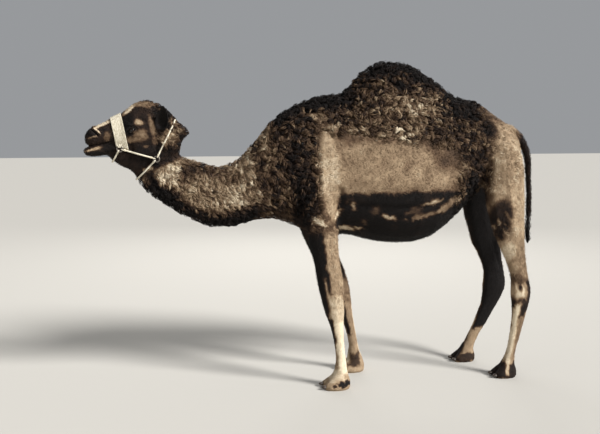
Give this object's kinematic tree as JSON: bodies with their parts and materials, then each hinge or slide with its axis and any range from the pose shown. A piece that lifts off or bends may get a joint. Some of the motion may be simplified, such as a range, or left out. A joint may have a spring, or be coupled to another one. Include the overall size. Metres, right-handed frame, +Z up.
{
  "type": "dromedary camel, standing model",
  "caption": "Life-size still model of a one-humped camel, standing with its neck held low and forward, wearing a halter.",
  "frame": {"origin": "middle of the animal's footprint box, on the floor under its soles", "axes": "+Z up, the head towards -X, the animal's left side towards -Y"},
  "size_m": [2.967, 0.616, 2.0754],
  "materials": {
    "coat": "matte wool and short hair, curly on hump, shoulders, neck and head, flat on flanks and legs",
    "nail": "dull horn",
    "eye": "wet, glossy, dark brown",
    "webbing": "undyed woven cotton",
    "cord": "twisted undyed cord",
    "iron": "dull worn iron"
  },
  "bodies": {
    "root": {"head": "coat", "neck": "coat", "trunk": "coat", "hump": "coat", "tail": "coat", "tail_tuft": "coat", "ear_left": "coat", "ear_right": "coat", "forearm_left": "coat", "forearm_right": "coat", "fore_shank_left": "coat", "fore_shank_right": "coat", "fore_foot_left": "coat", "fore_foot_right": "coat", "thigh_left": "coat", "thigh_right": "coat", "hind_shank_left": "coat", "hind_shank_right": "coat", "hind_foot_left": "coat", "hind_foot_right": "coat", "fore_nail_inner_left": "nail", "fore_nail_outer_left": "nail", "fore_nail_inner_right": "nail", "fore_nail_outer_right": "nail", "hind_nail_inner_left": "nail", "hind_nail_outer_left": "nail", "hind_nail_inner_right": "nail", "hind_nail_outer_right": "nail", "eye_left": "eye", "eye_right": "eye", "noseband": "webbing", "chin_strap": "cord", "throat_strap": "cord", "crown_strap": "cord", "cheek_strap_left": "cord", "cheek_strap_right": "cord", "nose_ring_left": "iron", "nose_ring_right": "iron", "jaw_ring_left": "iron", "jaw_ring_right": "iron"}
  },
  "joints": []
}
